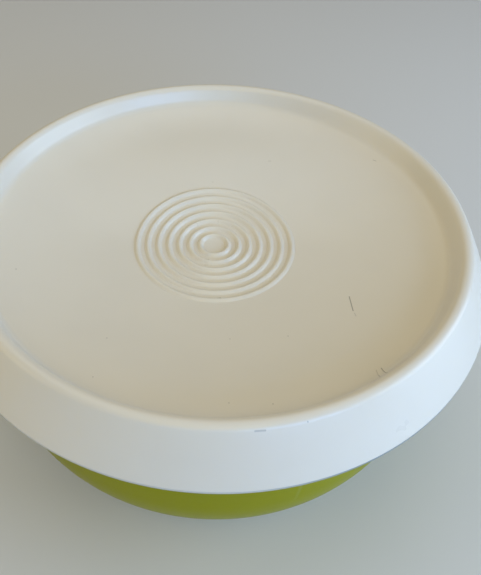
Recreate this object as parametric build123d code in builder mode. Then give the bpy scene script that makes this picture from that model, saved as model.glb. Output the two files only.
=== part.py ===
from build123d import *
from math import acos, asin, atan2, cos, degrees, hypot, radians, sin, sqrt, tan
import os

# Lidded serving bowl. A round moulded bowl and a one-piece lid that presses onto its rim.
# Millimetres, +Z up, origin on the table under the middle of the foot.

# ---- Bowl ----
rim_radius = 117.0          # outside of the thickened rim, which the lid is sized from
rim_height = 125.4          # top of the rim above the table
rim_band_height = 5.0       # height of the thickened rim
rim_band_step = 0.9         # how far the band stands out from the wall
wall = 2.4                  # thickness of the bowl all over
wall_lean = 0.8             # degrees that the wall opens upwards
belly_radius = 57.0         # outside curve between wall and base
base_height = 3.0           # underside of the base above the table
foot_radius = 64.0          # outside of the foot ring
foot_width = 3.0            # radial width of the foot ring

# ---- Lid ----
sheet = 1.6                 # thickness of the lid
seal_clearance = 0.35       # radial gap between the rim and the lid's two ribs
seat_clearance = 1.2        # gap between the top of the rim and the lid above it
crest_rounding = 3.6        # rounding of the crest, which stands over the middle of the rim
skirt_overhang = 13.0       # how far the skirt's bottom edge reaches past the rim
skirt_drop = 22.5           # from the top of the rim down to the skirt's bottom edge
lip_height = 2.3            # height of the upright band along the skirt's edge
lip_width = 2.4             # radial width of that band
recess_slope = 66.0         # degrees that the wall inside the crest rises outwards
recess_depth = 8.6          # from the top of the crest down to the panel's edge
panel_fall = 14.1           # from the edge of the panel down to its middle
panel_rounding = 3.0        # rounding between the panel and the wall inside the crest
outer_rib_depth = 4.8       # how far the rib outside the rim reaches below the rim's top
inner_rib_depth = 6.4       # how far the rib inside the rim reaches below the rim's top
rib_thickness = 1.3         # thickness of both ribs

# ---- Ridges on the lid ----
ridge_count = 7
first_ridge_radius = 6.96   # crest of the innermost ridge
ridge_pitch = 5.2           # crest to crest
ridge_width = 3.3           # across the foot of one ridge
ridge_height = 0.9          # above the panel


def corner_at(sketch, x, y):
    """The corner of a section that lies nearest to a point."""
    return sketch.vertices().sort_by_distance((x, y, 0))[0]


os.makedirs("parts", exist_ok=True)

# ---------------------------------------------------------------- bowl
lean = radians(wall_lean)
wall_radius = rim_radius - rim_band_step
belly_centre_z = base_height + belly_radius
belly_reach = (belly_radius + (rim_height - belly_centre_z) * sin(lean)) / cos(lean)
belly_centre_r = wall_radius - belly_reach
inner_curve = belly_radius - wall
floor_z = base_height + wall


def belly_point(radius, turn):
    """Point on a belly curve, turned down from the start of the wall by some degrees."""
    down = radians(wall_lean + turn)
    return (belly_centre_r + radius * cos(down), belly_centre_z - radius * sin(down))


def wall_point(inset, z):
    """Point on the leaning wall at a height, inset from its outside."""
    return (wall_radius - (rim_height - z) * tan(lean) - inset / cos(lean), z)


curve_start_r = max(foot_radius, belly_centre_r)
curve_start_z = belly_centre_z - sqrt(belly_radius**2 - (curve_start_r - belly_centre_r)**2)
band_z = rim_height - rim_band_height
rim_inner_radius = wall_point(wall, rim_height)[0]
band_foot = wall_point(0, band_z - rim_band_step)

with BuildPart() as bowl:
    with BuildSketch(Plane.XZ) as bowl_section:
        with BuildLine():
            Polyline(
                (0, floor_z),
                (0, base_height),
                (foot_radius - foot_width, base_height),
                (foot_radius - foot_width, 0),
                (foot_radius, 0),
                (foot_radius, curve_start_z),
            )
            if foot_radius < curve_start_r:
                Line((foot_radius, curve_start_z), (curve_start_r, curve_start_z))
            base_turn = 90 - wall_lean
            RadiusArc((curve_start_r, curve_start_z), belly_point(belly_radius, 0), -belly_radius)
            Polyline(
                belly_point(belly_radius, 0),
                band_foot,
                (rim_radius, band_z),
                (rim_radius, rim_height),
                (rim_inner_radius, rim_height),
                belly_point(inner_curve, 0),
            )
            RadiusArc(belly_point(inner_curve, 0), belly_point(inner_curve, base_turn), inner_curve)
            Line(belly_point(inner_curve, base_turn), (0, floor_z))
        make_face()
        rim_corners = [
            corner_at(bowl_section, rim_radius, rim_height),
            corner_at(bowl_section, rim_inner_radius, rim_height),
        ]
        fillet(rim_corners, radius=0.4 * (rim_radius - rim_inner_radius))
        fillet(corner_at(bowl_section, foot_radius, curve_start_z), radius=foot_width / 2)
        foot_corners = [
            corner_at(bowl_section, foot_radius, 0),
            corner_at(bowl_section, foot_radius - foot_width, 0),
        ]
        fillet(foot_corners, radius=0.3 * foot_width)
    revolve(axis=Axis.Z)

bowl.part.label = "bowl"
export_step(bowl.part, "parts/bowl.step")

# ---------------------------------------------------------------- lid
lid_radius = rim_radius + skirt_overhang
crest_radius = (rim_radius + rim_inner_radius) / 2
crest_top_z = rim_height + seat_clearance + sheet
crest_centre_z = crest_top_z - crest_rounding
lip_bottom_z = rim_height - skirt_drop
lip_top_z = lip_bottom_z + lip_height

# The skirt is a straight cone that leaves the crest's rounding and ends at the top of the lip.
skirt_run = lid_radius - crest_radius
skirt_fall = crest_centre_z - lip_top_z
skirt_slope = 90 - degrees(acos(crest_rounding / hypot(skirt_run, skirt_fall)) - atan2(skirt_fall, skirt_run))


def crest_point(radius, fall):
    """Point on the crest's rounding, or on its underside, where it falls outwards by some degrees."""
    return (crest_radius + radius * sin(radians(fall)), crest_centre_z + radius * cos(radians(fall)))


under_crest = crest_rounding - sheet
wall_top = crest_point(crest_rounding, -recess_slope)
under_wall_top = crest_point(under_crest, -recess_slope)
under_skirt_top = crest_point(under_crest, skirt_slope)
under_skirt_r = lid_radius - lip_width
under_skirt_z = under_skirt_top[1] - (under_skirt_r - under_skirt_top[0]) * tan(radians(skirt_slope))

# The panel is a shallow round dish.
panel_edge_z = crest_top_z - recess_depth
panel_radius = wall_top[0] - (wall_top[1] - panel_edge_z) / tan(radians(recess_slope))
panel_middle_z = panel_edge_z - panel_fall
dish_curve = (panel_radius**2 + panel_fall**2) / (2 * panel_fall)
dish_centre_z = panel_middle_z + dish_curve
ridge_zone = first_ridge_radius + (ridge_count - 1) * ridge_pitch + ridge_width / 2


def dish_z(radius):
    """Height of the panel's upper face between the ridges."""
    return dish_centre_z - sqrt(dish_curve**2 - radius**2)


# The underside of the wall inside the crest runs down until it meets the underside of the dish.
wall_run = (-cos(radians(recess_slope)), -sin(radians(recess_slope)))
above_centre = under_wall_top[1] - dish_centre_z
approach = under_wall_top[0] * wall_run[0] + above_centre * wall_run[1]
short_of_dish = (dish_curve + sheet)**2 - under_wall_top[0]**2 - above_centre**2
under_wall_length = sqrt(approach**2 + short_of_dish) - approach
under_panel_r = under_wall_top[0] + under_wall_length * wall_run[0]
under_panel_z = under_wall_top[1] + under_wall_length * wall_run[1]

# Two ribs under the crest hold the rim between them.
rib_top_z = crest_centre_z + sheet / 2
outer_rib_z = rim_height - outer_rib_depth
outer_rib_r = rim_radius + seal_clearance
inner_rib_z = rim_height - inner_rib_depth
inner_rib_r = wall_point(wall, inner_rib_z)[0] - seal_clearance - rib_thickness

with BuildPart() as lid:
    with BuildSketch(Plane.XZ) as lid_section:
        with BuildLine():
            Line((0, panel_middle_z - sheet), (0, panel_middle_z))
            edge = (0, panel_middle_z)
            for ridge in range(ridge_count):
                middle = first_ridge_radius + ridge * ridge_pitch
                start = (middle - ridge_width / 2, dish_z(middle - ridge_width / 2))
                top = (middle, dish_z(middle) + ridge_height)
                end = (middle + ridge_width / 2, dish_z(middle + ridge_width / 2))
                Line(edge, start)
                ThreePointArc(start, top, end)
                edge = end
            zone_turn = degrees(asin(ridge_zone / dish_curve))
            panel_turn = degrees(asin(panel_radius / dish_curve))
            CenterArc((0, dish_centre_z), dish_curve, zone_turn - 90, panel_turn - zone_turn)
            Line((panel_radius, panel_edge_z), wall_top)
            crest_turn = skirt_slope + recess_slope
            CenterArc((crest_radius, crest_centre_z), crest_rounding, 90 - skirt_slope, crest_turn)
            Polyline(
                crest_point(crest_rounding, skirt_slope),
                (lid_radius, lip_top_z),
                (lid_radius, lip_bottom_z),
                (under_skirt_r, lip_bottom_z),
                (under_skirt_r, under_skirt_z),
                under_skirt_top,
            )
            CenterArc((crest_radius, crest_centre_z), under_crest, 90 - skirt_slope, crest_turn)
            Line(under_wall_top, (under_panel_r, under_panel_z))
            under_turn = degrees(asin(under_panel_r / (dish_curve + sheet)))
            CenterArc((0, dish_centre_z), dish_curve + sheet, -90, under_turn)
        make_face()
        fillet(corner_at(lid_section, panel_radius, panel_edge_z), radius=panel_rounding)
        fillet(corner_at(lid_section, under_panel_r, under_panel_z), radius=panel_rounding + sheet)
        fillet(corner_at(lid_section, lid_radius, lip_bottom_z), radius=0.35 * lip_height)
        fillet(corner_at(lid_section, under_skirt_r, lip_bottom_z), radius=0.2 * lip_height)
        for rib_r, rib_z in ((outer_rib_r, outer_rib_z), (inner_rib_r, inner_rib_z)):
            with Locations((rib_r + rib_thickness / 2, (rib_z + rib_top_z) / 2)):
                Rectangle(rib_thickness, rib_top_z - rib_z)
            rib_end = [
                corner_at(lid_section, rib_r, rib_z),
                corner_at(lid_section, rib_r + rib_thickness, rib_z),
            ]
            fillet(rib_end, radius=0.4 * rib_thickness)
    revolve(axis=Axis.Z)

lid.part.label = "lid"
export_step(lid.part, "parts/lid.step")
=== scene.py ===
import math

import bmesh
import bpy
from mathutils import Euler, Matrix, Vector


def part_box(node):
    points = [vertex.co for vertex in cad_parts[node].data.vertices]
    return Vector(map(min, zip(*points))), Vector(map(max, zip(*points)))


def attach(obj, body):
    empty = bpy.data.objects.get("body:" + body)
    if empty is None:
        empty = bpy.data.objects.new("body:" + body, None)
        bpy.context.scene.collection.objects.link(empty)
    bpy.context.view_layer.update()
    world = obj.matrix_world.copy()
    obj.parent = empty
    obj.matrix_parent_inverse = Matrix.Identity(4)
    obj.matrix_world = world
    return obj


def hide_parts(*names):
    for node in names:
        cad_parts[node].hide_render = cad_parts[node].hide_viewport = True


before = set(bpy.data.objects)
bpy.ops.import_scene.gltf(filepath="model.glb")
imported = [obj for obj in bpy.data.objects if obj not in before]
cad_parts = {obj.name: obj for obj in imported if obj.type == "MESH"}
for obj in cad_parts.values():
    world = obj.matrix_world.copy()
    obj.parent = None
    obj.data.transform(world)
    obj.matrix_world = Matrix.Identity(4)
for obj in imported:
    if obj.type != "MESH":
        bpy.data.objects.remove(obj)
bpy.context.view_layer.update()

bl_info = {
    "name": "Lidded Serving Bowl",
    "version": (1, 0, 0),
    "blender": (4, 5, 0),
    "location": "View3D > Sidebar > Bowl",
    "description": "Builds a moulded bowl, its press-on lid and a plain studio",
    "category": "Add Mesh",
}

MM = 0.001
BOWL_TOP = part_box("bowl")[1]
LID_LOW, LID_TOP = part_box("lid")
FULL_TURN = 2 * math.pi

# Facets round a turned piece, steps along the curves of its section and its longest step.
SEGMENTS = 200
BELLY_STEPS = 30
CREST_STEPS = 22
CROWN_STEPS = 16
SKIRT_STEPS = 12
PANEL_STEPS = 30
UNDER_STEPS = 36
CORNER_STEP = math.radians(9)
NEARLY_STRAIGHT = math.radians(89.5)
BOWL_SPACING = 4 * MM
LID_SPACING = 3 * MM

# Distances under which points are joined, in the node tree and in the finished mesh.
TREE_WELD = 0.002 * MM
MESH_WELD = 0.001 * MM
SLIVER = 0.0005 * MM

# Shape of a ridge, of the wave in the lid's edge and of the bow behind the lid's middle.
RIDGE_POWER = 1.3
WARP_WAVES = 2
WARP_PHASE = 0.7
WARP_RISE = 0.5
BOW_POWER = 1.5
BOW_END = 2.7
BOW_FULL = 0.8

# Scratches on the lid seen from above: start, end, width and strength.
LID_SCRATCHES = (
    ((61.3 * MM, -37.5 * MM), (61.7 * MM, -46.8 * MM), 0.30 * MM, 1.0),
    ((62.1 * MM, -48.3 * MM), (62.4 * MM, -50.2 * MM), 0.28 * MM, 0.4),
    ((67.2 * MM, -82.1 * MM), (68.5 * MM, -86.7 * MM), 0.28 * MM, 0.9),
    ((65.1 * MM, -83.0 * MM), (65.4 * MM, -86.8 * MM), 0.28 * MM, 0.4),
    ((65.6 * MM, -86.4 * MM), (65.3 * MM, -89.7 * MM), 0.28 * MM, 0.4),
    ((84.6 * MM, 58.2 * MM), (86.0 * MM, 57.1 * MM), 0.28 * MM, 0.6),
    ((16.2 * MM, -117.2 * MM), (20.0 * MM, -116.7 * MM), 0.28 * MM, 0.6),
)
# Dirt specks on the lid seen from above: place and size.
LID_SPECKS = (
    ((-44.0 * MM, -66.9 * MM), 0.40 * MM),
    ((7.9 * MM, -63.0 * MM), 0.35 * MM),
    ((32.6 * MM, -61.1 * MM), 0.40 * MM),
    ((-45.9 * MM, -90.2 * MM), 0.35 * MM),
    ((-90.3 * MM, -31.0 * MM), 0.45 * MM),
    ((7.4 * MM, -99.8 * MM), 0.35 * MM),
    ((24.0 * MM, -100.0 * MM), 0.40 * MM),
    ((35.0 * MM, -112.8 * MM), 0.35 * MM),
)
SPECK_STRENGTH = 0.7
# Share of a mark's reach over which it has its full strength.
MARK_CORE = 0.4
SPECK_CORE = 0.3

# Soft rectangles of light: name, place, width and depth, power in watts and colour.
STUDIO_LIGHTS = (
    ("window_light", (1.05, -0.10, 0.42), (0.9, 0.8), 8.4, (0.58, 0.76, 1.0)),
    ("far_window_light", (0.60, -0.95, 0.47), (0.7, 0.5), 6.4, (0.27, 0.51, 1.0)),
    ("front_light", (0.05, -1.10, 0.50), (0.7, 0.4), 1.5, (0.40, 0.68, 1.0)),
    ("ceiling_light", (-0.1, 0.5, 1.5), (1.6, 1.6), 6.7, (0.94, 0.98, 1.0)),
    ("lamp_light", (0.0, -0.75, 1.25), (1.0, 1.0), 4.0, (1.0, 0.73, 0.06)),
    ("side_light", (-1.05, -0.1, 0.5), (0.9, 0.8), 2.3, (0.95, 0.84, 0.58)),
)
LIGHT_AIM = (0, 0, 0.1)
AIR_COLOUR = (1.0, 0.95, 0.85, 1.0)
AIR_STRENGTH = 0.12
FLOOR_HALF_WIDTH = 3.0
FLOOR_DROP = 0.0002
SENSOR_WIDTH = 36.0


# ------------------------------------------------------------------ node trees

class Term:
    """A number that varies, wrapped so that a sum on sockets can be written out."""

    def __init__(self, tree, socket):
        self.tree = tree
        self.socket = socket

    def _math(self, operation, *values):
        node = self.tree.node("ShaderNodeMath", {"operation": operation}, dict(enumerate(values)))
        return Term(self.tree, node.outputs[0])

    def __add__(self, other):
        return self._math("ADD", self, other)

    def __radd__(self, other):
        return self._math("ADD", other, self)

    def __sub__(self, other):
        return self._math("SUBTRACT", self, other)

    def __rsub__(self, other):
        return self._math("SUBTRACT", other, self)

    def __mul__(self, other):
        return self._math("MULTIPLY", self, other)

    def __rmul__(self, other):
        return self._math("MULTIPLY", other, self)

    def __truediv__(self, other):
        return self._math("DIVIDE", self, other)

    def __rtruediv__(self, other):
        return self._math("DIVIDE", other, self)

    def __pow__(self, other):
        return self._math("POWER", self, other)

    def __rpow__(self, other):
        return self._math("POWER", other, self)

    def __lt__(self, other):
        return self._math("LESS_THAN", self, other)

    def __gt__(self, other):
        return self._math("GREATER_THAN", self, other)

    def floor(self):
        return self._math("FLOOR", self)

    def round(self):
        return self._math("ROUND", self)

    def abs(self):
        return self._math("ABSOLUTE", self)

    def sqrt(self):
        return self._math("SQRT", self)

    def sin(self):
        return self._math("SINE", self)

    def cos(self):
        return self._math("COSINE", self)

    def at_least(self, other):
        return self._math("MAXIMUM", self, other)

    def at_most(self, other):
        return self._math("MINIMUM", self, other)

    def ramp(self, low, high):
        """0 below low, 1 above high and a smooth step between them. High may be the lower one."""
        settings = {"interpolation_type": "SMOOTHSTEP"}
        falling = low > high
        values = {"Value": self, "From Min": min(low, high), "From Max": max(low, high)}
        step = Term(self.tree, self.tree.node("ShaderNodeMapRange", settings, values).outputs[0])
        return 1 - step if falling else step


class Tree:
    """A node tree that is filled one node at a time."""

    def __init__(self, nodes):
        self.tree = nodes

    def node(self, kind, settings=None, values=None):
        """Adds a node: its settings first, then the values or links of its input sockets."""
        node = self.tree.nodes.new(kind)
        for name, value in (settings or {}).items():
            setattr(node, name, value)
        for name, value in (values or {}).items():
            socket = node.inputs[name]
            if isinstance(value, Term):
                value = value.socket
            if isinstance(value, bpy.types.NodeSocket):
                self.tree.links.new(value, socket)
            else:
                socket.default_value = value
        return node

    def term(self, kind, settings=None, values=None, output=0):
        """Adds a node and gives one of its outputs as a term."""
        return Term(self, self.node(kind, settings, values).outputs[output])

    def split(self, vector):
        """The three parts of a vector socket, as terms."""
        parts = self.node("ShaderNodeSeparateXYZ", None, {0: vector})
        return [Term(self, socket) for socket in parts.outputs]

    def join(self, x, y, z):
        """A vector socket from three numbers or terms."""
        return self.node("ShaderNodeCombineXYZ", None, {0: x, 1: y, 2: z}).outputs[0]


class Finish(Tree):
    """A material, with the helpers that its patterns share."""

    def __init__(self, name):
        material = bpy.data.materials.new(name)
        material.use_nodes = True
        super().__init__(material.node_tree)
        self.tree.nodes.clear()
        self.material = material
        self.point = self.node("ShaderNodeTexCoord").outputs["Object"]
        self.x, self.y, self.z = self.split(self.point)
        self.radius = (self.x * self.x + self.y * self.y).sqrt()

    def noise(self, size, detail=2.0, roughness=0.5, vector=None):
        """Soft random pattern whose features are about the given size in metres."""
        values = {"Scale": 1 / size, "Detail": detail, "Roughness": roughness}
        values["Vector"] = vector or self.point
        return self.term("ShaderNodeTexNoise", {"noise_dimensions": "3D"}, values)

    def mix(self, factor, first, second):
        """Colour mix, first where the factor is 0."""
        settings = {"data_type": "RGBA", "blend_type": "MIX"}
        return self.node("ShaderNodeMix", settings, {0: factor, 6: first, 7: second}).outputs[2]

    def over(self, tone, colour, amount):
        """A tone with a plain colour laid over it."""
        return self.mix(amount, tone, (*colour, 1.0))

    @staticmethod
    def swung(base, *patterns):
        """A number that swings about its base with patterns that run from 0 to 1."""
        for pattern, swing in patterns:
            base = base + (pattern - 0.5) * swing
        return base

    def hairlines(self, angle, length, width, rarity):
        """Short straight scratches that all lie near one direction, 1 on a scratch."""
        turned = self.node(
            "ShaderNodeMapping",
            {"vector_type": "TEXTURE"},
            {"Vector": self.point, "Rotation": (0, 0, angle), "Scale": (length, 6 * width, length)},
        ).outputs[0]
        spots = self.node(
            "ShaderNodeTexVoronoi",
            {"voronoi_dimensions": "2D", "feature": "F1"},
            {"Vector": turned, "Scale": 1.0, "Randomness": 1.0},
        )
        chance = self.split(spots.outputs["Color"])[0]
        nearness = Term(self, spots.outputs["Distance"]).ramp(0.24, 0.08)
        return nearness * (chance > 1 - rarity)

    def specks(self, spacing, size, rarity):
        """Small round specks, 1 at the middle of a speck."""
        spots = self.node(
            "ShaderNodeTexVoronoi",
            {"voronoi_dimensions": "3D", "feature": "F1"},
            {"Vector": self.point, "Scale": 1 / spacing, "Randomness": 1.0},
        )
        chance = self.split(spots.outputs["Color"])[1]
        reach = size / spacing
        nearness = Term(self, spots.outputs["Distance"]).ramp(reach, SPECK_CORE * reach)
        return nearness * (chance > 1 - rarity)

    def stroke(self, start, end, width):
        """One straight mark between two points seen from above, 1 along its middle."""
        run = (end[0] - start[0], end[1] - start[1])
        reach = run[0] ** 2 + run[1] ** 2
        across = self.x - start[0]
        along = self.y - start[1]
        share = ((across * run[0] + along * run[1]) / reach).at_least(0.0).at_most(1.0)
        off_x = across - share * run[0]
        off_y = along - share * run[1]
        return (off_x * off_x + off_y * off_y).sqrt().ramp(width, MARK_CORE * width)

    def spot(self, place, size):
        """One small round mark at a point seen from above, 1 at its middle."""
        off_x = self.x - place[0]
        off_y = self.y - place[1]
        return (off_x * off_x + off_y * off_y).sqrt().ramp(size, MARK_CORE * size)

    def bump(self, height, distance, strength=1.0, normal=None):
        """A Bump node's normal. The height is in units of the distance, which is in metres."""
        values = {"Height": height, "Distance": distance, "Strength": strength}
        if normal is not None:
            values["Normal"] = normal
        return self.node("ShaderNodeBump", None, values).outputs[0]

    def finish(self, varying, constants):
        """Adds the surface shader and gives the finished material."""
        values = dict(constants)
        values.update(varying)
        shader = self.node("ShaderNodeBsdfPrincipled", None, values)
        self.node("ShaderNodeOutputMaterial", None, {"Surface": shader.outputs[0]})
        return self.material


def lid_plastic(looks):
    """Off-white polyethylene: satin, a little milky, with light wear from use, and painted shade
    and painted dark reflection on its lower edge.
    """
    make = Finish("lid_polyethylene")
    cloudy = make.noise(70 * MM, detail=3.0)
    spread = make.noise(9 * MM, detail=3.0)
    turning, spreading = 9, 6
    from_middle = make.radius.at_least(MM)
    around = make.join(
        make.x / from_middle * turning,
        make.y / from_middle * turning,
        make.radius * spreading,
    )
    flow = make.noise(1.0, detail=2.0, vector=around)
    smears = make.noise(30 * MM, detail=2.0).ramp(0.40, 0.85)
    specks = make.specks(19 * MM, 0.45 * MM, 0.08)
    cuts = sum(
        make.stroke(start, end, width) * strength
        for start, end, width, strength in LID_SCRATCHES
    )
    for place, size in LID_SPECKS:
        cuts = cuts + make.spot(place, size) * SPECK_STRENGTH
    cuts = cuts.at_most(1.0)

    # Painted shade and painted dark reflection on the lid's lower edge: the upright band is
    # darkened in grey blue, more towards +x, and its bottom edge is darker still.
    on_skirt = make.radius.ramp(118 * MM, 122 * MM)
    edge = on_skirt * make.z.ramp(LID_LOW.z + 0.9 * MM, LID_LOW.z + 0.4 * MM)
    band = on_skirt * make.z.ramp(LID_LOW.z + 2.3 * MM, LID_LOW.z + 1.5 * MM)
    shaded = make.x.ramp(0, 70 * MM) * 0.55 + 0.25
    tone = make.mix(cloudy, (*looks.lid_colour, 1.0), (*looks.lid_shade, 1.0))
    tone = make.over(tone, looks.smear_colour, smears * 0.08)
    tone = make.over(tone, looks.painted_lip_shade, band * shaded)
    tone = make.over(tone, looks.painted_lip_shade, edge * 0.75)
    tone = make.over(tone, looks.mark_colour, specks * 0.35)
    tone = make.over(tone, looks.mark_colour, cuts * 0.6)

    roughness = make.swung(looks.lid_roughness, (cloudy, 0.05), (spread, 0.04), (flow, 0.02))
    swell = make.bump(make.noise(42 * MM, detail=1.0), 0.22 * MM)
    grain = make.bump(make.noise(1.1 * MM, detail=2.0), 0.012 * MM, normal=swell)
    scored = make.bump(0 - cuts, 0.05 * MM, normal=grain)
    return make.finish(
        {"Base Color": tone, "Roughness": roughness, "Normal": scored},
        {
            "IOR": 1.51,
            "Subsurface Weight": 0.12,
            "Subsurface Radius": (1.0, 0.9, 0.7),
            "Subsurface Scale": 1.5 * MM,
            "Specular IOR Level": 0.5,
        },
    )


def bowl_plastic(looks):
    """Lime green polypropylene: smooth and satin, scuffed near the foot."""
    make = Finish("bowl_polypropylene")
    cloudy = make.noise(55 * MM, detail=2.0)
    spread = make.noise(7 * MM, detail=3.0)
    flattened = 7
    around = make.join(make.x, make.y, make.z * flattened)
    turning = make.noise(8 * MM, detail=3.0, vector=around)
    low = make.z.ramp(26 * MM, 4 * MM)
    scuffs = make.noise(2.2 * MM, detail=4.0, roughness=0.65).ramp(0.56, 0.70) * low
    hairs = (
        make.hairlines(math.radians(12), 20 * MM, 0.14 * MM, 0.10)
        + make.hairlines(math.radians(97), 17 * MM, 0.14 * MM, 0.08)
    ).at_most(1.0)
    specks = make.specks(21 * MM, 0.5 * MM, 0.10)
    tone = make.mix(cloudy, (*looks.bowl_colour, 1.0), (*looks.bowl_shade, 1.0))
    tone = make.over(tone, looks.scuff_colour, scuffs * 0.35)
    tone = make.over(tone, looks.scuff_colour, hairs * 0.08)
    tone = make.over(tone, looks.mark_colour, specks * 0.4)
    roughness = make.swung(looks.bowl_roughness, (turning, 0.06), (spread, 0.05)) + scuffs * 0.22
    swell = make.bump(make.noise(38 * MM, detail=1.0), 0.18 * MM)
    grain = make.bump(make.noise(1.0 * MM, detail=2.0), 0.010 * MM, normal=swell)
    scored = make.bump(0 - hairs * 0.3 - scuffs * 0.4, 0.05 * MM, normal=grain)
    return make.finish(
        {"Base Color": tone, "Roughness": roughness, "Normal": scored},
        {
            "IOR": 1.49,
            "Subsurface Weight": 0.05,
            "Subsurface Radius": (0.8, 1.0, 0.3),
            "Subsurface Scale": 1.5 * MM,
            "Specular IOR Level": 0.06,
        },
    )


def floor_paint():
    """Matt pale floor."""
    make = Finish("studio_floor")
    mottle = make.noise(0.35, detail=2.0)
    tone = make.mix(mottle, (0.70, 0.69, 0.67, 1.0), (0.72, 0.71, 0.69, 1.0))
    return make.finish({"Base Color": tone}, {"Roughness": 0.75, "Specular IOR Level": 0.25})


# ------------------------------------------------------------------ sections

def arc_points(centre, radius, start, end, steps):
    """Points on an arc, both ends among them. Angles are in radians, up from outwards."""
    turn = (end - start) / steps
    angles = [start + turn * i for i in range(steps + 1)]
    return [
        (centre[0] + radius * math.cos(angle), centre[1] + radius * math.sin(angle))
        for angle in angles
    ]


def between(start, end, share):
    """The point at a share of the way from one point to another."""
    return (start[0] + (end[0] - start[0]) * share, start[1] + (end[1] - start[1]) * share)


def round_corner(before, corner, after, radius):
    """The arc that takes off a corner between two straight runs."""
    here = Vector(corner)
    back = (Vector(before) - here).normalized()
    ahead = (Vector(after) - here).normalized()
    half = math.acos(max(-1.0, min(1.0, back.dot(ahead)))) / 2
    if radius <= 0 or half > NEARLY_STRAIGHT:
        return [corner]
    middle = here + (back + ahead).normalized() * (radius / math.sin(half))
    start = here + back * (radius / math.tan(half)) - middle
    end = here + ahead * (radius / math.tan(half)) - middle
    sweep = start.angle_signed(end)
    steps = max(3, math.ceil(abs(sweep) / CORNER_STEP))
    points = []
    for i in range(steps + 1):
        turn = -sweep * i / steps
        x = start.x * math.cos(turn) - start.y * math.sin(turn)
        y = start.x * math.sin(turn) + start.y * math.cos(turn)
        points.append((middle.x + x, middle.y + y))
    return points


def rounded_run(corners):
    """Turns (radius, height, rounding) corners into points. The two ends stay sharp."""
    points = [corners[0][:2]]
    for before, corner, after in zip(corners, corners[1:], corners[2:]):
        points += round_corner(before[:2], corner[:2], after[:2], corner[2])
    points.append(corners[-1][:2])
    return points


def divided(points, spacing):
    """The same line with no step longer than the spacing."""
    line = [points[0]]
    for start, end in zip(points, points[1:]):
        steps = max(1, math.ceil(math.dist(start, end) / spacing))
        line += [between(start, end, i / steps) for i in range(1, steps + 1)]
    return line


def bowl_section(size):
    """Closed half section of the bowl, from the middle of its underside round to its floor."""
    lean = size.wall_lean
    wall_radius = size.rim_radius - size.band_step
    centre_z = size.base_height + size.belly_radius
    reach = (size.belly_radius + (size.rim_height - centre_z) * math.sin(lean)) / math.cos(lean)
    centre = (wall_radius - reach, centre_z)
    foot_in = size.foot_radius - size.foot_width
    foot_angle = -math.acos((size.foot_radius - centre[0]) / size.belly_radius)
    foot_top = centre_z + size.belly_radius * math.sin(foot_angle)
    inner_curve = size.belly_radius - size.wall

    def wall_at(height, inset):
        return wall_radius - (size.rim_height - height) * math.tan(lean) - inset / math.cos(lean)

    foot_edge = 0.3 * size.foot_width
    foot_fillet = 0.5 * size.foot_width
    fillet_run = 3 * MM
    near_base = foot_angle + fillet_run / size.belly_radius
    belly = arc_points(centre, size.belly_radius, near_base, -lean, BELLY_STEPS)
    foot = rounded_run([
        (0, size.base_height, 0),
        (foot_in, size.base_height, foot_edge),
        (foot_in, 0, foot_edge),
        (size.foot_radius, 0, foot_edge),
        (size.foot_radius, foot_top, foot_fillet),
        (*belly[0], 0),
    ])
    band_z = size.rim_height - size.band_height
    band_root, band_edge = 0.8 * MM, 0.5 * MM
    rim_in = wall_at(size.rim_height, size.wall)
    rim_edge = 0.45 * (size.rim_radius - rim_in)
    inside = arc_points(centre, inner_curve, -lean, -math.pi / 2, BELLY_STEPS)
    rim = rounded_run([
        (*belly[-1], 0),
        (wall_at(band_z - size.band_step, 0), band_z - size.band_step, band_root),
        (size.rim_radius, band_z, band_edge),
        (size.rim_radius, size.rim_height, rim_edge),
        (rim_in, size.rim_height, rim_edge),
        (*inside[0], 0),
    ])
    floor = [(0, size.base_height + size.wall)]
    return divided(foot[:-1] + belly[:-1] + rim[:-1] + inside + floor, BOWL_SPACING)


def tangent_fall(centre, radius, end):
    """How steeply a straight run falls from a round crest to a point, in radians."""
    run, fall = end[0] - centre[0], centre[1] - end[1]
    return math.pi / 2 - math.acos(radius / math.hypot(run, fall)) + math.atan2(fall, run)


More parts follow.
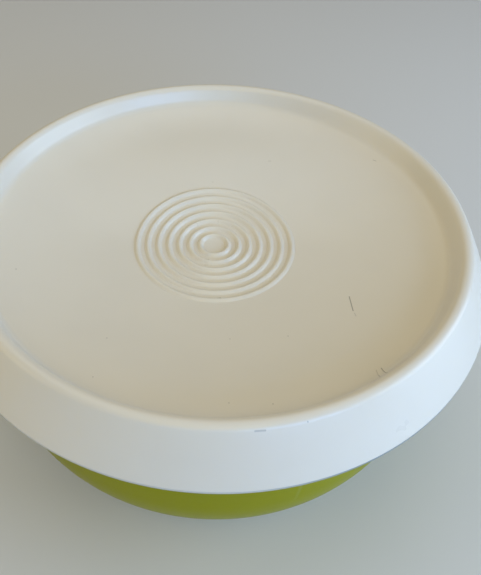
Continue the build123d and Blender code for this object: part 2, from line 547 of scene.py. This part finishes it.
def lid_section(size, ridges):
    """Closed half section of the lid without ridges, and how many points its ridged middle has."""
    rib = size.rib_thickness
    crest_top = size.rim_height + size.seat_clearance + size.sheet
    crest = (size.rim_radius - size.crest_inset, crest_top - size.crest_rounding)
    under_crest = size.crest_rounding - size.sheet
    lip_top = (size.radius, size.lip_bottom + size.lip_height)
    skirt_slope = tangent_fall(crest, size.crest_rounding, lip_top)
    rise = math.pi / 2 + size.recess_slope
    fall = math.pi / 2 - skirt_slope
    crest_arc = arc_points(crest, size.crest_rounding, rise, fall, CREST_STEPS)
    crown_arc = arc_points(crest, under_crest, fall, rise, CROWN_STEPS)

    panel_z = crest_top - size.recess_depth
    wall_run = (crest_arc[0][1] - panel_z) / math.tan(size.recess_slope)
    panel_radius = crest_arc[0][0] - wall_run
    curve = (panel_radius ** 2 + size.panel_fall ** 2) / (2 * size.panel_fall)
    curve_z = panel_z - size.panel_fall + curve

    def dish(radius, drop=0.0):
        return (radius, curve_z - math.sqrt((curve + drop) ** 2 - radius ** 2))

    def under_skirt(radius):
        start = crown_arc[0]
        return (radius, start[1] - (radius - start[0]) * math.tan(skirt_slope))

    def under_wall(radius):
        start = crown_arc[-1]
        return (radius, start[1] - (start[0] - radius) * math.tan(size.recess_slope))

    zone = ridges.first_radius + (ridges.count - 1) * ridges.pitch + ridges.width
    steps = round(zone / ridges.facet)
    ridged = [dish(zone * i / steps) for i in range(steps + 1)]
    plain_end = panel_radius - size.panel_rounding
    plain = [
        dish(zone + (plain_end - zone) * i / PANEL_STEPS) for i in range(PANEL_STEPS + 1)
    ]
    corner = round_corner(plain[-1], (panel_radius, panel_z), crest_arc[0], size.panel_rounding)

    skirt = []
    for i in range(1, SKIRT_STEPS):
        share = i / SKIRT_STEPS
        out = size.skirt_bulge * 4 * share * (1 - share)
        radius, height = between(crest_arc[-1], lip_top, share)
        skirt.append((radius + out * math.sin(skirt_slope), height + out * math.cos(skirt_slope)))

    lip_in = size.radius - size.lip_width
    outer_in = size.rim_radius + size.seal_clearance
    outer_end = size.rim_height - size.outer_rib_depth
    inner_in = size.inner_rib_radius
    inner_end = size.rim_height - size.inner_rib_depth
    rib_edge = 0.4 * rib
    rib_root, rib_corner = 0.6 * MM, 0.15 * MM
    lip_shoulder, lip_edge, lip_inside = 0.35 * MM, 0.8 * MM, 0.5 * MM
    lip = rounded_run([
        (*skirt[-1], 0),
        (*lip_top, lip_shoulder),
        (size.radius, size.lip_bottom, lip_edge),
        (lip_in, size.lip_bottom, lip_inside),
        (*under_skirt(lip_in), lip_inside),
        (*under_skirt(outer_in + rib), rib_root),
        (outer_in + rib, outer_end, rib_edge),
        (outer_in, outer_end, rib_edge),
        (*under_skirt(outer_in), 0.0),
    ])
    under_run = inner_in - 1 * MM
    dish_under = [
        dish(under_run * (1 - i / UNDER_STEPS), size.sheet) for i in range(2, UNDER_STEPS + 1)
    ]
    inner_rib = rounded_run([
        (*under_wall(inner_in + rib), 0),
        (inner_in + rib, inner_end, rib_edge),
        (inner_in, inner_end, rib_edge),
        (*under_wall(inner_in), rib_corner),
        (*under_wall(under_run), 0),
    ])
    low = under_wall(under_run)
    to_dish = (low[1] - dish(low[0], size.sheet)[1]) / math.tan(size.recess_slope)
    meeting = dish(low[0] - to_dish, size.sheet)
    under_corner = round_corner(inner_rib[-2], meeting, dish_under[0], size.panel_rounding)
    outline = ridged[:-1] + plain[:-1] + corner + crest_arc + skirt
    outline += lip[1:] + crown_arc + inner_rib[:-1] + under_corner + dish_under
    return divided(outline, LID_SPACING), steps + 1


# ------------------------------------------------------------------ turned pieces

# Inputs of the turning tree: name, kind of socket and default.
LATHE_INPUTS = (
    ("Section", "NodeSocketGeometry", None),
    ("Segments", "NodeSocketInt", SEGMENTS),
    ("Ridged Points", "NodeSocketInt", 0),
    ("Ridge Count", "NodeSocketInt", 1),
    ("First Ridge Radius", "NodeSocketFloat", 0.01),
    ("Ridge Pitch", "NodeSocketFloat", 0.01),
    ("Ridge Width", "NodeSocketFloat", 0.01),
    ("Ridge Height", "NodeSocketFloat", 0.0),
    ("Inner Gain", "NodeSocketFloat", 0.0),
    ("Edge Warp", "NodeSocketFloat", 0.0),
    ("Warp Start", "NodeSocketFloat", 1.0),
    ("Bow", "NodeSocketFloat", 0.0),
    ("Bow Reach", "NodeSocketFloat", 1.0),
    ("Material", "NodeSocketMaterial", None),
)


def lathe_tree():
    """A node group that turns a half section about Z and raises ridges on its first points."""
    group = bpy.data.node_groups.new("Turned Moulding", "GeometryNodeTree")
    face = group.interface
    for name, kind, default in LATHE_INPUTS:
        socket = face.new_socket(name=name, in_out="INPUT", socket_type=kind)
        if default is not None:
            socket.default_value = default
    face.new_socket(name="Moulding", in_out="OUTPUT", socket_type="NodeSocketGeometry")
    make = Tree(group)
    given = make.node("NodeGroupInput").outputs

    def number(name):
        return Term(make, given[name])

    segments = number("Segments")
    counted = make.node(
        "GeometryNodeAttributeDomainSize", {"component": "MESH"}, {0: given["Section"]}
    )
    grid = make.node(
        "GeometryNodeMeshGrid",
        None,
        {"Vertices X": counted.outputs["Point Count"], "Vertices Y": segments + 1},
    )
    index = make.term("GeometryNodeInputIndex")
    row = ((index + 0.5) / (segments + 1)).floor()
    column = index - row * (segments + 1)
    place = make.node("GeometryNodeInputPosition").outputs[0]
    point = make.node(
        "GeometryNodeSampleIndex",
        {"data_type": "FLOAT_VECTOR", "domain": "POINT"},
        {"Geometry": given["Section"], "Value": place, "Index": row},
    ).outputs[0]
    radius, _, height = make.split(point)

    pitch = number("Ridge Pitch")
    first = number("First Ridge Radius")
    last = number("Ridge Count") - 1
    nearest = ((radius - first) / pitch).round().at_least(0.0).at_most(last)
    off_crest = (radius - first - nearest * pitch).abs() * 2 / number("Ridge Width")
    bulge = (1 - off_crest * off_crest).at_least(0.0) ** RIDGE_POWER
    bulge = bulge * (1 + (1 - nearest / last) * number("Inner Gain"))
    ridged = row < number("Ridged Points")

    turn = column * FULL_TURN / segments
    start = number("Warp Start")
    outwards = ((radius - start) / (WARP_RISE * start)).at_least(0.0)
    warp = (turn * WARP_WAVES + WARP_PHASE).cos() * outwards * number("Edge Warp")
    reach = radius / number("Bow Reach")
    behind = (reach * turn.sin()).at_least(0.0)
    bow = behind ** BOW_POWER * reach.ramp(BOW_END, BOW_FULL) * number("Bow")
    lifted = height + bulge * ridged * number("Ridge Height") + warp + bow
    spot = make.join(radius * turn.cos(), radius * turn.sin(), lifted)

    turned = make.node(
        "GeometryNodeSetPosition", None, {"Geometry": grid.outputs[0], "Position": spot}
    )
    merged = make.node(
        "GeometryNodeMergeByDistance", None, {"Geometry": turned.outputs[0], "Distance": TREE_WELD}
    )
    smooth = make.node("GeometryNodeSetShadeSmooth", None, {"Geometry": merged.outputs[0]})
    real = make.node("GeometryNodeRealizeInstances", None, {0: smooth.outputs[0]})
    painted = make.node(
        "GeometryNodeSetMaterial",
        None,
        {"Geometry": real.outputs[0], "Material": given["Material"]},
    )
    make.node("NodeGroupOutput", None, {0: painted.outputs[0]})
    return group


def turned_piece(name, section, material, inputs):
    """Turns a half section into a closed mesh object at the origin."""
    seed_mesh = bpy.data.meshes.new(name + "_section")
    points = [(radius, 0.0, height) for radius, height in section]
    seed_mesh.from_pydata(points, [(i, i + 1) for i in range(len(points) - 1)], [])
    seed = bpy.data.objects.new(name + "_section", seed_mesh)
    bpy.context.scene.collection.objects.link(seed)
    modifier = seed.modifiers.new("Turned Moulding", "NODES")
    modifier.node_group = lathe_tree()
    values = dict(inputs)
    values["Material"] = material
    for item in modifier.node_group.interface.items_tree:
        if item.in_out == "INPUT" and item.name in values:
            modifier[item.identifier] = values[item.name]
    seen = seed.evaluated_get(bpy.context.evaluated_depsgraph_get())
    mesh = bpy.data.meshes.new_from_object(seen)
    bpy.data.objects.remove(seed)
    mesh.name = name
    work = bmesh.new()
    work.from_mesh(mesh)
    bmesh.ops.remove_doubles(work, verts=work.verts, dist=MESH_WELD)
    bmesh.ops.dissolve_degenerate(work, dist=SLIVER, edges=work.edges)
    bmesh.ops.recalc_face_normals(work, faces=work.faces)
    open_edges = sum(1 for edge in work.edges if not edge.is_manifold)
    work.to_mesh(mesh)
    work.free()
    if open_edges:
        raise RuntimeError(f"{name} is not closed: {open_edges} open edges")
    piece = bpy.data.objects.new(name, mesh)
    bpy.context.scene.collection.objects.link(piece)
    return piece


# ------------------------------------------------------------------ settings

def length(name, description, default):
    """A length property in metres."""
    return bpy.props.FloatProperty(
        name=name,
        description=description,
        default=default,
        min=0.0,
        precision=5,
        subtype="DISTANCE",
        unit="LENGTH",
    )


def angle(name, description, degrees):
    """An angle property, with its default in degrees."""
    return bpy.props.FloatProperty(
        name=name, description=description, default=math.radians(degrees), subtype="ANGLE"
    )


def factor(name, description, default):
    """A property from 0 to 1."""
    return bpy.props.FloatProperty(
        name=name, description=description, default=default, min=0.0, max=1.0, subtype="FACTOR"
    )


def colour(name, description, default):
    """A colour property."""
    return bpy.props.FloatVectorProperty(
        name=name,
        description=description,
        default=default,
        size=3,
        min=0.0,
        max=1.0,
        subtype="COLOR",
    )


class BowlSize(bpy.types.PropertyGroup):
    """Sizes of the bowl."""

    rim_radius: length("Rim radius", "Outside of the thickened rim", BOWL_TOP.x)
    rim_height: length("Rim height", "Top of the rim above the table", BOWL_TOP.z)
    band_height: length("Band height", "Height of the thickened rim", 5 * MM)
    band_step: length("Band step", "How far the thickened rim stands out", 0.9 * MM)
    wall: length("Wall", "Thickness of the bowl", 2.4 * MM)
    wall_lean: angle("Wall lean", "How far the wall opens upwards", 0.8)
    belly_radius: length("Belly radius", "Outside curve from wall to base", 57 * MM)
    base_height: length("Base height", "Underside of the base above the table", 3 * MM)
    foot_radius: length("Foot radius", "Outside of the foot ring", 64 * MM)
    foot_width: length("Foot width", "Radial width of the foot ring", 3 * MM)


class LidSize(bpy.types.PropertyGroup):
    """Sizes of the lid."""

    rim_radius: length("Rim radius", "Outside of the bowl's rim", BOWL_TOP.x)
    rim_height: length("Rim height", "Top of the bowl's rim", BOWL_TOP.z)
    radius: length("Radius", "Outside of the skirt's bottom edge", LID_TOP.x)
    lip_bottom: length("Lip bottom", "Bottom of the skirt above the table", LID_LOW.z)
    sheet: length("Sheet", "Thickness of the lid", 1.6 * MM)
    seal_clearance: length("Seal clearance", "Gap between the rim and a rib", 0.35 * MM)
    seat_clearance: length(
        "Seat clearance", "Gap above the rim", LID_TOP.z - BOWL_TOP.z - 1.6 * MM
    )
    crest_inset: length(
        "Crest inset", "Middle of the crest inwards from the outside of the rim", 1.65 * MM
    )
    crest_rounding: length("Crest rounding", "Rounding of the crest", 3.6 * MM)
    skirt_bulge: length(
        "Skirt bulge", "How far the skirt swells between crest and lip", 0.35 * MM
    )
    recess_slope: angle("Recess slope", "Rise of the wall inside the crest", 66)
    recess_depth: length("Recess depth", "Top of the crest down to the panel's edge", 8.6 * MM)
    panel_fall: length("Panel fall", "Panel's edge down to its middle", 14.1 * MM)
    panel_rounding: length(
        "Panel rounding", "Rounding between the panel and the wall around it", 4.5 * MM
    )
    lip_height: length("Lip height", "Height of the upright band on the edge", 2.3 * MM)
    lip_width: length("Lip width", "Radial width of the band on the edge", 2.4 * MM)
    rib_thickness: length("Rib thickness", "Thickness of the two seal ribs", 1.3 * MM)
    outer_rib_depth: length(
        "Outer rib depth", "Outer rib's reach below the rim's top", 4.8 * MM
    )
    inner_rib_depth: length(
        "Inner rib depth", "Inner rib's reach below the rim's top", 6.4 * MM
    )
    inner_rib_radius: length("Inner rib radius", "Inside face of the inner rib", 111.96 * MM)
    edge_warp: length("Edge warp", "How far the skirt's edge waves up and down", 0.25 * MM)
    bow: length("Bow", "How far the panel bows up behind its middle", 3.0 * MM)
    bow_reach: length("Bow reach", "Radius at which the bow is measured", 38.0 * MM)


class RidgeSize(bpy.types.PropertyGroup):
    """Sizes of the ridges in the middle of the lid."""

    count: bpy.props.IntProperty(name="Count", description="How many ridges", default=7, min=1)
    first_radius: length("First radius", "Crest of the innermost ridge", 6.96 * MM)
    pitch: length("Pitch", "Crest to crest", 5.2 * MM)
    width: length("Width", "Across the foot of one ridge", 3.3 * MM)
    height: length("Height", "Above the panel", 0.92 * MM)
    inner_gain: bpy.props.FloatProperty(
        name="Inner gain",
        description="Extra height of the innermost ridge, as a share",
        default=0.5,
        min=0.0,
    )
    facet: length("Facet", "Radial step of the mesh in the ridged middle", 0.29 * MM)


class Looks(bpy.types.PropertyGroup):
    """Colours and gloss of the two plastics, with the painted shade of the lid's lower edge."""

    lid_colour: colour("Lid", "Off-white of the lid", (0.83, 0.775, 0.67))
    lid_shade: colour("Lid shade", "Slightly yellowed off-white", (0.80, 0.74, 0.63))
    bowl_colour: colour("Bowl", "Lime green of the bowl", (0.320, 0.300, 0.006))
    bowl_shade: colour("Bowl shade", "Slightly deeper lime", (0.290, 0.280, 0.005))
    mark_colour: colour("Marks", "Specks and cuts", (0.13, 0.11, 0.09))
    scuff_colour: colour("Scuffs", "Whitened scuffs on the bowl", (0.62, 0.66, 0.36))
    smear_colour: colour("Smears", "Faint grey stains on the lid", (0.60, 0.58, 0.53))
    # Painted shade: grey blue laid on the lid's lower edge in place of shade and the reflection of
    # a dark surface beneath it.
    painted_lip_shade: colour("Lip", "Grey blue of the lid's edge", (0.10, 0.16, 0.19))
    lid_roughness: factor("Lid roughness", "Satin of the lid", 0.29)
    bowl_roughness: factor("Bowl roughness", "Satin of the bowl", 0.30)


class Studio(bpy.types.PropertyGroup):
    """Camera."""

    camera_place: bpy.props.FloatVectorProperty(
        name="Camera place",
        description="Where the camera stands",
        size=3,
        subtype="TRANSLATION",
        default=(0.0, -0.2376, 0.3269),
    )
    camera_pitch: angle("Pitch", "How far the camera looks down", 46.69)
    camera_yaw: angle("Yaw", "How far the camera looks to the right", -2.37)
    camera_roll: angle("Roll", "Tilt of the camera about its view", 0.02)
    lens: bpy.props.FloatProperty(
        name="Lens",
        description="Focal length in millimetres on a 36 mm sensor",
        default=48.65,
        min=1.0,
    )
    shift: bpy.props.FloatProperty(
        name="Shift", description="Sideways shift as a share of the width", default=0.0956
    )


# ------------------------------------------------------------------ operators

class TABLEWARE_OT_bowl(bpy.types.Operator):
    """Build the bowl."""

    bl_idname = "tableware.bowl"
    bl_label = "Bowl"

    def execute(self, context):
        scene = context.scene
        section = bowl_section(scene.bowl_size)
        inputs = {"Segments": SEGMENTS}
        piece = turned_piece("bowl_moulding", section, bowl_plastic(scene.bowl_looks), inputs)
        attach(piece, "bowl")
        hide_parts("bowl")
        return {"FINISHED"}


class TABLEWARE_OT_lid(bpy.types.Operator):
    """Build the lid with its ridges, skirt and seal ribs."""

    bl_idname = "tableware.lid"
    bl_label = "Lid"

    def execute(self, context):
        scene = context.scene
        size = scene.lid_size
        ridges = scene.ridge_size
        section, ridged_points = lid_section(size, ridges)
        inputs = {
            "Segments": SEGMENTS,
            "Ridged Points": ridged_points,
            "Ridge Count": ridges.count,
            "First Ridge Radius": ridges.first_radius,
            "Ridge Pitch": ridges.pitch,
            "Ridge Width": ridges.width,
            "Ridge Height": ridges.height,
            "Inner Gain": ridges.inner_gain,
            "Edge Warp": size.edge_warp,
            "Bow": size.bow,
            "Bow Reach": size.bow_reach,
            "Warp Start": size.rim_radius + size.seal_clearance + size.rib_thickness,
        }
        piece = turned_piece("lid_moulding", section, lid_plastic(scene.bowl_looks), inputs)
        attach(piece, "lid")
        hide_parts("lid")
        return {"FINISHED"}


class TABLEWARE_OT_stage(bpy.types.Operator):
    """Lay the floor and set the light and the camera."""

    bl_idname = "tableware.stage"
    bl_label = "Stage"

    def execute(self, context):
        scene = context.scene
        self.lay_floor(scene)
        for light in STUDIO_LIGHTS:
            self.add_light(scene, *light)
        world = bpy.data.worlds.new("studio_air")
        world.use_nodes = True
        air = world.node_tree.nodes["Background"]
        air.inputs["Color"].default_value = AIR_COLOUR
        air.inputs["Strength"].default_value = AIR_STRENGTH
        scene.world = world
        scene.view_settings.view_transform = "Standard"
        self.set_camera(scene, scene.studio)
        return {"FINISHED"}

    @staticmethod
    def lay_floor(scene):
        """A wide floor just under the foot."""
        half = FLOOR_HALF_WIDTH
        corners = [(-half, -half, 0), (half, -half, 0), (half, half, 0), (-half, half, 0)]
        mesh = bpy.data.meshes.new("floor")
        mesh.from_pydata(corners, [], [(0, 1, 2, 3)])
        mesh.materials.append(floor_paint())
        floor = bpy.data.objects.new("floor", mesh)
        floor.location.z = -FLOOR_DROP
        scene.collection.objects.link(floor)

    @staticmethod
    def add_light(scene, name, place, size, power, tint):
        """A soft rectangle of light aimed at the middle of the bowl."""
        data = bpy.data.lights.new(name, "AREA")
        data.shape = "RECTANGLE"
        data.size, data.size_y = size
        data.energy = power
        data.color = tint
        light = bpy.data.objects.new(name, data)
        light.location = place
        aim = Vector(LIGHT_AIM) - Vector(place)
        light.rotation_euler = aim.to_track_quat("-Z", "Y").to_euler()
        scene.collection.objects.link(light)

    @staticmethod
    def set_camera(scene, studio):
        """The camera, looking down on the lid from in front."""
        data = bpy.data.cameras.new("camera")
        data.sensor_fit = "HORIZONTAL"
        data.sensor_width = SENSOR_WIDTH
        data.lens = studio.lens
        data.shift_x = studio.shift
        data.clip_start = 0.01
        camera = bpy.data.objects.new("camera", data)
        look = Euler((math.pi / 2 - studio.camera_pitch, 0.0, -studio.camera_yaw)).to_matrix()
        roll = Euler((0.0, 0.0, studio.camera_roll)).to_matrix()
        camera.rotation_euler = (look @ roll).to_euler()
        camera.location = studio.camera_place
        scene.collection.objects.link(camera)
        scene.camera = camera


class TABLEWARE_PT_bowl(bpy.types.Panel):
    """Lists the pieces of the bowl."""

    bl_idname = "TABLEWARE_PT_bowl"
    bl_label = "Serving Bowl"
    bl_space_type = "VIEW_3D"
    bl_region_type = "UI"
    bl_category = "Bowl"

    def draw(self, context):
        column = self.layout.column()
        for operator in OPERATORS:
            column.operator(operator.bl_idname)


SETTINGS = {
    "bowl_size": BowlSize,
    "lid_size": LidSize,
    "ridge_size": RidgeSize,
    "bowl_looks": Looks,
    "studio": Studio,
}
OPERATORS = (TABLEWARE_OT_stage, TABLEWARE_OT_bowl, TABLEWARE_OT_lid)


def register():
    """Registers the settings, the operators and the panel."""
    for name, group in SETTINGS.items():
        bpy.utils.register_class(group)
        setattr(bpy.types.Scene, name, bpy.props.PointerProperty(type=group))
    for operator in OPERATORS:
        bpy.utils.register_class(operator)
    bpy.utils.register_class(TABLEWARE_PT_bowl)


def unregister():
    """Takes away what register added."""
    bpy.utils.unregister_class(TABLEWARE_PT_bowl)
    for operator in reversed(OPERATORS):
        bpy.utils.unregister_class(operator)
    for name, group in reversed(SETTINGS.items()):
        delattr(bpy.types.Scene, name)
        bpy.utils.unregister_class(group)


def main():
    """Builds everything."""
    register()
    bpy.ops.tableware.stage()
    bpy.ops.tableware.bowl()
    bpy.ops.tableware.lid()
    bpy.context.view_layer.update()


if __name__ == "__main__":
    main()
